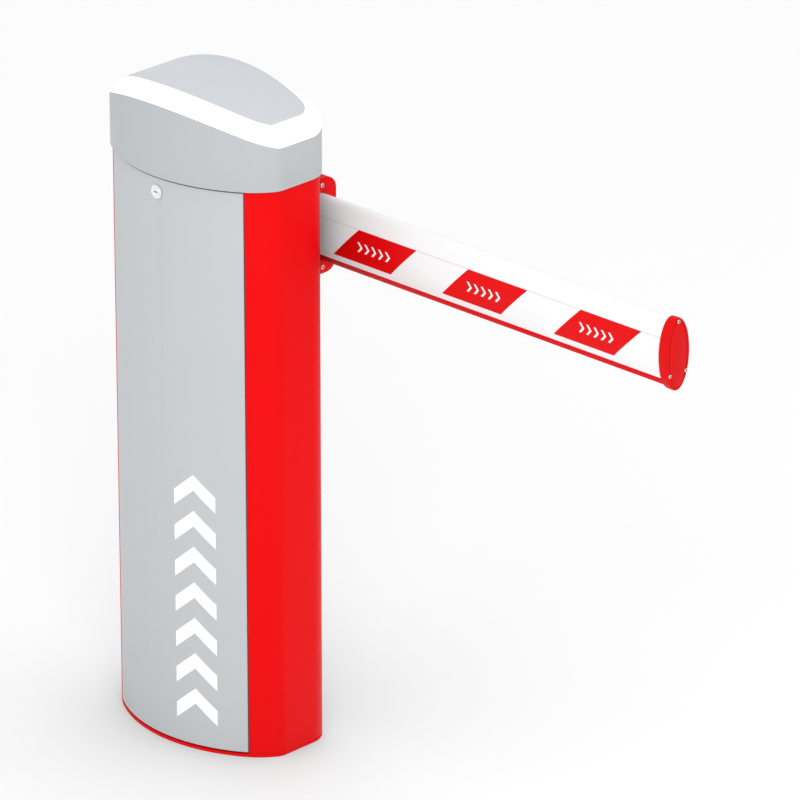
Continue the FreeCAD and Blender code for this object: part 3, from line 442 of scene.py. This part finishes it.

# %% [markdown]
# ## Dark cuts: the end cap's groove and the key slot
#
# The red end cap has an oval groove near its rim, and the lock's plug a slot for the key. Both are cut in
# the CAD. A narrow cut reads darker than the face around it because little light reaches into it, so the
# faces down in the cut get a darker finish: painted shade. They are found by where they lie.

# %% Darken the cuts
boom_joint = next(joint for joint in frame["joints"] if joint["name"] == "boom_swing")
boom_low, boom_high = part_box("boom_profile")
BOOM_Y = (boom_low[1] + boom_high[1]) / 2
BOOM_Z = boom_joint["pos_m"][2]
BOOM_HALF_W = (boom_high[1] - boom_low[1]) / 2
BOOM_HALF_H = boom_high[2] - BOOM_Z


def oval_share(point):
    """0 on the boom's centre line and 1 on its oval surface."""
    return math.hypot((point.y - BOOM_Y) / BOOM_HALF_W, (point.z - BOOM_Z) / BOOM_HALF_H)


def darken(piece, material, in_cut):
    """Give the faces of a cut their own finish."""
    piece.data.materials.append(material)
    found = 0
    for face in piece.data.polygons:
        if in_cut(face.center):
            face.material_index = 1
            found += 1
    return found


SKIN = 0.1 * MM             # faces less deep than this are the surface itself
GROOVE_DEPTH = 0.8 * MM
GROOVE_BAND = (0.85, 0.995)
KEY_SLOT_HALF = 3.6 * MM
cap_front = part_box("boom_end_cap")[1][0]
lock_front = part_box("lock_plug")[0][1]
lock_joint = next(joint for joint in frame["joints"] if joint["name"] == "lock_turn")


def in_groove(centre):
    """True down in the end cap's groove."""
    deep = cap_front - centre.x
    return SKIN < deep < GROOVE_DEPTH + SKIN and GROOVE_BAND[0] < oval_share(centre) < GROOVE_BAND[1]


def in_key_slot(centre):
    """True down in the key slot."""
    off = math.hypot(centre.x - lock_joint["pos_m"][0], centre.z - lock_joint["pos_m"][2])
    return centre.y - lock_front > SKIN and off < KEY_SLOT_HALF


print(darken(rounded["boom_end_cap"], groove_shade_and_arrow_red, in_groove), "faces in the end cap's groove")
print(darken(rounded["lock_plug"], painted_socket_shade, in_key_slot), "faces in the key slot")

# %% [markdown]
# ## The boom's profile
#
# The boom is an oval tube covered with white film that has two fine joints on each side, along its whole
# length. The triangles that a CAD export cuts around so shallow a groove shade badly in grazing light, so
# the tube is drawn here again: one section of the same oval, flat below where the bumper sits, with a
# small notch at each joint, carried straight from end to end. Long straight quads can't ripple, and the
# notch's floor gets a darker grey finish, a painted shade down in the joint.

# %% A piece from a mesh under construction
def finished_mesh(name, shell, material):
    """An object from a bmesh, with its normals outward."""
    bmesh.ops.recalc_face_normals(shell, faces=shell.faces)
    mesh = bpy.data.meshes.new(name)
    shell.to_mesh(mesh)
    shell.free()
    mesh.materials.append(material)
    piece = bpy.data.objects.new(name, mesh)
    scene.collection.objects.link(piece)
    return piece


# %% Draw the boom's section
FILM_JOINTS = (24.7 * MM, -28.6 * MM)
JOINT_HALF = 0.45 * MM
JOINT_DEPTH = 0.45 * MM
SECTION_STEPS = 170


def section():
    """Points up one side of the oval and down the other, as (angle, share of the oval's size)."""
    foot = math.asin((boom_low[2] - BOOM_Z) / BOOM_HALF_H)
    step = (math.pi - 2 * foot) / SECTION_STEPS
    notches = []
    for level in FILM_JOINTS:
        low, high = (math.asin((level + side * JOINT_HALF) / BOOM_HALF_H) for side in (-1, 1))
        notches += [(low, high), (math.pi - high, math.pi - low)]
    steps = [foot + i * step for i in range(SECTION_STEPS + 1)]
    room = step / 3
    points = [(a, 0, 1.0) for a in steps if not any(low - room < a < high + room for low, high in notches)]
    floor_share = 1.0 - JOINT_DEPTH / BOOM_HALF_W
    for low, high in notches:
        points += [(low, 0, 1.0), (low, 1, floor_share), (high, 0, floor_share), (high, 1, 1.0)]
    return [(angle, share) for angle, order, share in sorted(points)]


outline = section()
print(len(outline), "points in the boom's section")


# %% Carry the section along the boom
def section_ring(shell, x):
    """The section's points at one place along the boom."""
    ring = []
    for angle, share in outline:
        y = BOOM_Y + BOOM_HALF_W * share * math.cos(angle)
        z = BOOM_Z + BOOM_HALF_H * share * math.sin(angle)
        ring.append(shell.verts.new((x, y, z)))
    return ring


shell = bmesh.new()
root, tip = (section_ring(shell, x) for x in (boom_low[0], boom_high[0]))
for i in range(len(outline)):
    j = (i + 1) % len(outline)
    face = shell.faces.new((root[i], root[j], tip[j], tip[i]))
    # Faces on a notch's floor take the second finish, a painted shade.
    face.material_index = int(outline[i][1] < 1.0 and outline[j][1] < 1.0)
for ring in (root, tip):
    shell.faces.new(ring)
boom_piece = finished_mesh("boom_profile_finished", shell, finishes[slot_of["boom_profile"]])
boom_piece.data.materials.append(painted_joint_shade)
shade(boom_piece.data)
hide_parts("boom_profile")
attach(boom_piece, "boom")
print("boom drawn,", round(boom_high[0] - boom_low[0], 4), "metres long")

# %% [markdown]
# ## Screws with a socket
#
# Low round heads hold the bracket's plate and the end cap. A plain disc reads as a dot; a real head has a
# rolled edge and a hexagonal socket that shades its middle. Each head is a stack of rings: six flats are
# a ring whose distance from the centre follows the hexagon. The socket's faces get a near-black finish,
# a painted shade in the hollow.

# %% Turn a screw head
RING_POINTS = 24
HEX_SHARE = 0.44            # socket's half width over the head's radius
HEAD_PROFILE = ((1.0, 0.0), (1.0, 0.45), (0.90, 0.80), (0.74, 1.0))     # shares of radius and height
SOCKET_FLOOR = 0.2          # share of the head's height
SOCKET_CENTRE = (0.02 * MM, 0.15)
SIXTH = math.pi / 3


def hex_reach(angle, flat):
    """Distance from a hexagon's centre to its edge in a direction."""
    return flat / math.cos((angle + SIXTH / 2) % SIXTH - SIXTH / 2)


def add_head(shell, place, side, radius, height):
    """A round head on a face that looks along X, with a socket in its middle."""
    steps = [i * 2 * math.pi / RING_POINTS for i in range(RING_POINTS)]
    socket = [hex_reach(step, radius * HEX_SHARE) for step in steps]
    middle, middle_up = SOCKET_CENTRE
    rows = [([radius * share] * RING_POINTS, height * up) for share, up in HEAD_PROFILE]
    rows += [(socket, height), (socket, height * SOCKET_FLOOR), ([middle] * RING_POINTS, height * middle_up)]
    rings = []
    for reach, up in rows:
        spots = [Vector((side * up, math.cos(step) * r, math.sin(step) * r)) for step, r in zip(steps, reach)]
        rings.append([shell.verts.new(Vector(place) + spot) for spot in spots])
    for row, (low, high) in enumerate(zip(rings[:-1], rings[1:])):
        for i in range(RING_POINTS):
            j = (i + 1) % RING_POINTS
            face = shell.faces.new((low[i], low[j], high[j], high[i]))
            # The socket's rows take the second, near-black finish: painted shade.
            face.material_index = int(row >= len(HEAD_PROFILE))


# %% Screws in the bracket and the end cap
def screw_set(node, radius, height, heads):
    """Every head of one CAD node, in its place."""
    shell = bmesh.new()
    for place, side in heads:
        add_head(shell, place, side, radius, height)
    piece = finished_mesh(node + "_finished", shell, finishes[slot_of[node]])
    piece.data.materials.append(painted_socket_shade)
    shade(piece.data)
    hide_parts(node)
    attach(piece, "boom")


HEAD_RADIUS, HEAD_HEIGHT = 3.7 * MM, 2.2 * MM
low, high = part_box("bracket_screws")
bracket_heads = []
for z in (low[2] + HEAD_RADIUS, high[2] - HEAD_RADIUS):
    bracket_heads.append(((high[0] - HEAD_HEIGHT, BOOM_Y, z), 1))
    bracket_heads.append(((low[0] + HEAD_HEIGHT, BOOM_Y, z), -1))
screw_set("bracket_screws", HEAD_RADIUS, HEAD_HEIGHT, bracket_heads)

END_RADIUS, END_HEIGHT = 2.8 * MM, 1.4 * MM
low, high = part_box("end_cap_screws")
face_x = high[0] - END_HEIGHT
foot_z = low[2] + END_RADIUS
spots = ((BOOM_Y, high[2] - END_RADIUS), (low[1] + END_RADIUS, foot_z), (high[1] - END_RADIUS, foot_z))
end_heads = [((face_x, y, z), 1) for y, z in spots]
screw_set("end_cap_screws", END_RADIUS, END_HEIGHT, end_heads)
print(len(bracket_heads) + len(end_heads), "screw heads")

# %% [markdown]
# ## Arrow marks
#
# The door carries a column of white film, and each red reflector a short row of it. Plain arrow shapes
# are used here, pointing up on the door, as the boom rises, and along the boom on the reflectors. A film
# is far thinner than a sheet, so it is drawn as a thin strip laid on the surface: each point is found by
# a ray cast at the CAD part below it, which makes the film follow the bow of the door and the oval of the
# boom. The end cap's face is flat, so its small dark arrows need no ray.

# %% Lay a film arrow on a surface
FILM_THICK = 0.12 * MM


def surface_of(name):
    """A ray target made from a CAD part."""
    mesh = nodes[name].data
    points = [v.co.copy() for v in mesh.vertices]
    return BVHTree.FromPolygons(points, [tuple(p.vertices) for p in mesh.polygons])


def on_side(target, side):
    """A function that puts (x, z) on the front (-1) or back (1) of a part."""
    def put(x, z):
        hit = target.ray_cast(Vector((x, side, z)), Vector((0, -side, 0)))[0]
        return Vector((x, hit.y + side * FILM_THICK, z))
    return put


def add_arrow(shell, put, tip, middle, width, depth, stroke, steps):
    """A bent strip whose point leads along the direction of travel; put places (along, across)."""
    last = None
    for i in range(steps + 1):
        across = width * (i / steps - 0.5)
        lead = tip - depth * abs(across) / (width / 2)
        pair = [shell.verts.new(put(along, middle + across)) for along in (lead - stroke, lead)]
        if last:
            shell.faces.new((last[0], last[1], pair[1], pair[0]))
        last = pair


def film_piece(name, shell, material, body):
    """Film with a real thickness, riding on a body."""
    piece = finished_mesh(name, shell, material)
    thick = piece.modifiers.new("film", "SOLIDIFY")
    thick.thickness = FILM_THICK / 2
    thick.offset = 0.0
    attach(piece, body)
    return piece


# %% Arrows on the door
DOOR_ARROWS = 7
ARROW_X = 60.0 * MM
ARROW_WIDTH = 68.0 * MM
ARROW_DEPTH = 30.0 * MM
ARROW_STROKE = 25.0 * MM
LOWEST_TIP = 100.0 * MM
ARROW_PITCH = 57.5 * MM
white_film = finish("white_film", (0.94, 0.94, 0.94), 0.35, 0.0015, 0.000006, mottle_amount=0.02)
door_front = on_side(surface_of("door_panel"), -1)


def up_the_door(z, x):
    """A point on the door for an arrow that points up."""
    return door_front(x, z)


shell = bmesh.new()
for i in range(DOOR_ARROWS):
    tip = LOWEST_TIP + i * ARROW_PITCH
    add_arrow(shell, up_the_door, tip, ARROW_X, ARROW_WIDTH, ARROW_DEPTH, ARROW_STROKE, 32)
film_piece("door_arrows", shell, white_film, "door")
print(DOOR_ARROWS, "arrows on the door")

# %% Arrows on the reflectors
marks = surface_of("boom_marks")
MARK_FIRST = 199.0 * MM
MARK_PITCH = 219.7 * MM
MARK_MIDDLE = 38.0 * MM     # middle arrow's tip from the mark's top near corner, along the boom
ROW_ARROWS = 5
ROW_PITCH = 14.0 * MM
ROW_WIDTH = 15.0 * MM
ROW_DEPTH = 6.5 * MM
ROW_STROKE = 4.0 * MM
ROW_BELOW = 1.0 * MM        # row's middle below the boom's centre line
MARKS = 3
shell = bmesh.new()
for side in (-1, 1):
    face = on_side(marks, side)
    for mark in range(MARKS):
        middle = MARK_FIRST + mark * MARK_PITCH + MARK_MIDDLE
        for i in range(ROW_ARROWS):
            tip = middle + (i - (ROW_ARROWS - 1) / 2) * ROW_PITCH
            add_arrow(shell, face, tip, BOOM_Z - ROW_BELOW, ROW_WIDTH, ROW_DEPTH, ROW_STROKE, 10)
film_piece("reflector_arrows", shell, white_film, "boom")
print(2 * MARKS * ROW_ARROWS, "arrows on the reflectors")

# %% Arrows on the end cap
CAP_ARROWS = 5
CAP_PITCH = 11.0 * MM
CAP_WIDTH = 11.0 * MM
CAP_DEPTH = 4.5 * MM
CAP_STROKE = 1.5 * MM
TIP_ABOVE = 2.0 * MM        # middle arrow's tip above the boom's centre line


def on_end_cap(z, y):
    """A point on the end cap's face."""
    return Vector((cap_front + SKIN, y, z))


shell = bmesh.new()
for i in range(CAP_ARROWS):
    tip = BOOM_Z + (i - (CAP_ARROWS - 1) / 2) * CAP_PITCH + TIP_ABOVE
    add_arrow(shell, on_end_cap, tip, BOOM_Y, CAP_WIDTH, CAP_DEPTH, CAP_STROKE, 2)
film_piece("end_cap_arrows", shell, groove_shade_and_arrow_red, "boom")
print(CAP_ARROWS, "arrows on the end cap")

# %% [markdown]
# ## Balance spring
#
# The spring inside the cabinet is stretched while the boom is down and shortens as the boom rises. Its
# wire is wound here as a curve: close turns at both ends, open turns between. The curve is then turned
# into a mesh of its own that rides on the cabinet.

# %% Measure the spring
low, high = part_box("balance_spring")
WIRE = 2.5 * MM
COIL_POINTS = 16
TURNS = 39
END_TURNS = 1.5
mid_x = (low[0] + high[0]) / 2
mid_y = (low[1] + high[1]) / 2
coil_radius = (high[0] - low[0]) / 2 - WIRE
end_rise = END_TURNS * 2 * WIRE
open_rise = (high[2] - low[2] - 2 * WIRE - 2 * end_rise) / (TURNS - 2 * END_TURNS)


def spring_height(turn):
    """Rise of the wire's middle after a number of turns."""
    ends = min(turn, END_TURNS) + max(turn - (TURNS - END_TURNS), 0.0)
    between = turn - ends
    return ends * 2 * WIRE + between * open_rise


print(TURNS, "turns of a", round(2 * WIRE / MM, 1), "mm wire")

# %% Wind the wire
curve = bpy.data.curves.new("spring_wire", "CURVE")
curve.dimensions = "3D"
curve.bevel_depth = WIRE
curve.bevel_resolution = 2
curve.use_fill_caps = True
wire = curve.splines.new("POLY")
wire.points.add(TURNS * COIL_POINTS)
for i, point in enumerate(wire.points):
    turn = i / COIL_POINTS
    angle = 2 * math.pi * turn
    point.co = (mid_x + coil_radius * math.cos(angle), mid_y + coil_radius * math.sin(angle),
                low[2] + WIRE + spring_height(turn), 1.0)
print(len(wire.points), "points along the wire")

# %% Turn it into a mesh of its own
holder = bpy.data.objects.new("spring_wire", curve)
scene.collection.objects.link(holder)
bpy.context.view_layer.update()
coil = bpy.data.meshes.new_from_object(holder.evaluated_get(bpy.context.evaluated_depsgraph_get()))
bpy.data.objects.remove(holder)
coil.shade_smooth()
coil.materials.clear()
coil.materials.append(finishes[slot_of["balance_spring"]])
spring = bpy.data.objects.new("balance_spring_finished", coil)
scene.collection.objects.link(spring)
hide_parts("balance_spring")
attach(spring, "cabinet")
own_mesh(spring)
print(len(coil.vertices), "points in the spring")

# %% [markdown]
# ## Floor
#
# A plain pale floor, wide enough to fill every view. It isn't part of the gate.

# %% Lay the floor
FLOOR_HALF = 30.0
floor_mesh = bpy.data.meshes.new("floor")
corners = [(x * FLOOR_HALF, y * FLOOR_HALF, 0) for x, y in ((-1, -1), (1, -1), (1, 1), (-1, 1))]
floor_mesh.from_pydata(corners, [], [(0, 1, 2, 3)])
floor = bpy.data.objects.new("floor", floor_mesh)
scene.collection.objects.link(floor)
pale_floor = finish("pale_floor", (0.93, 0.93, 0.93), 0.6, 0.004, 0.00001, mottle_amount=0.004)
floor_mesh.materials.append(pale_floor)
print("floor laid")
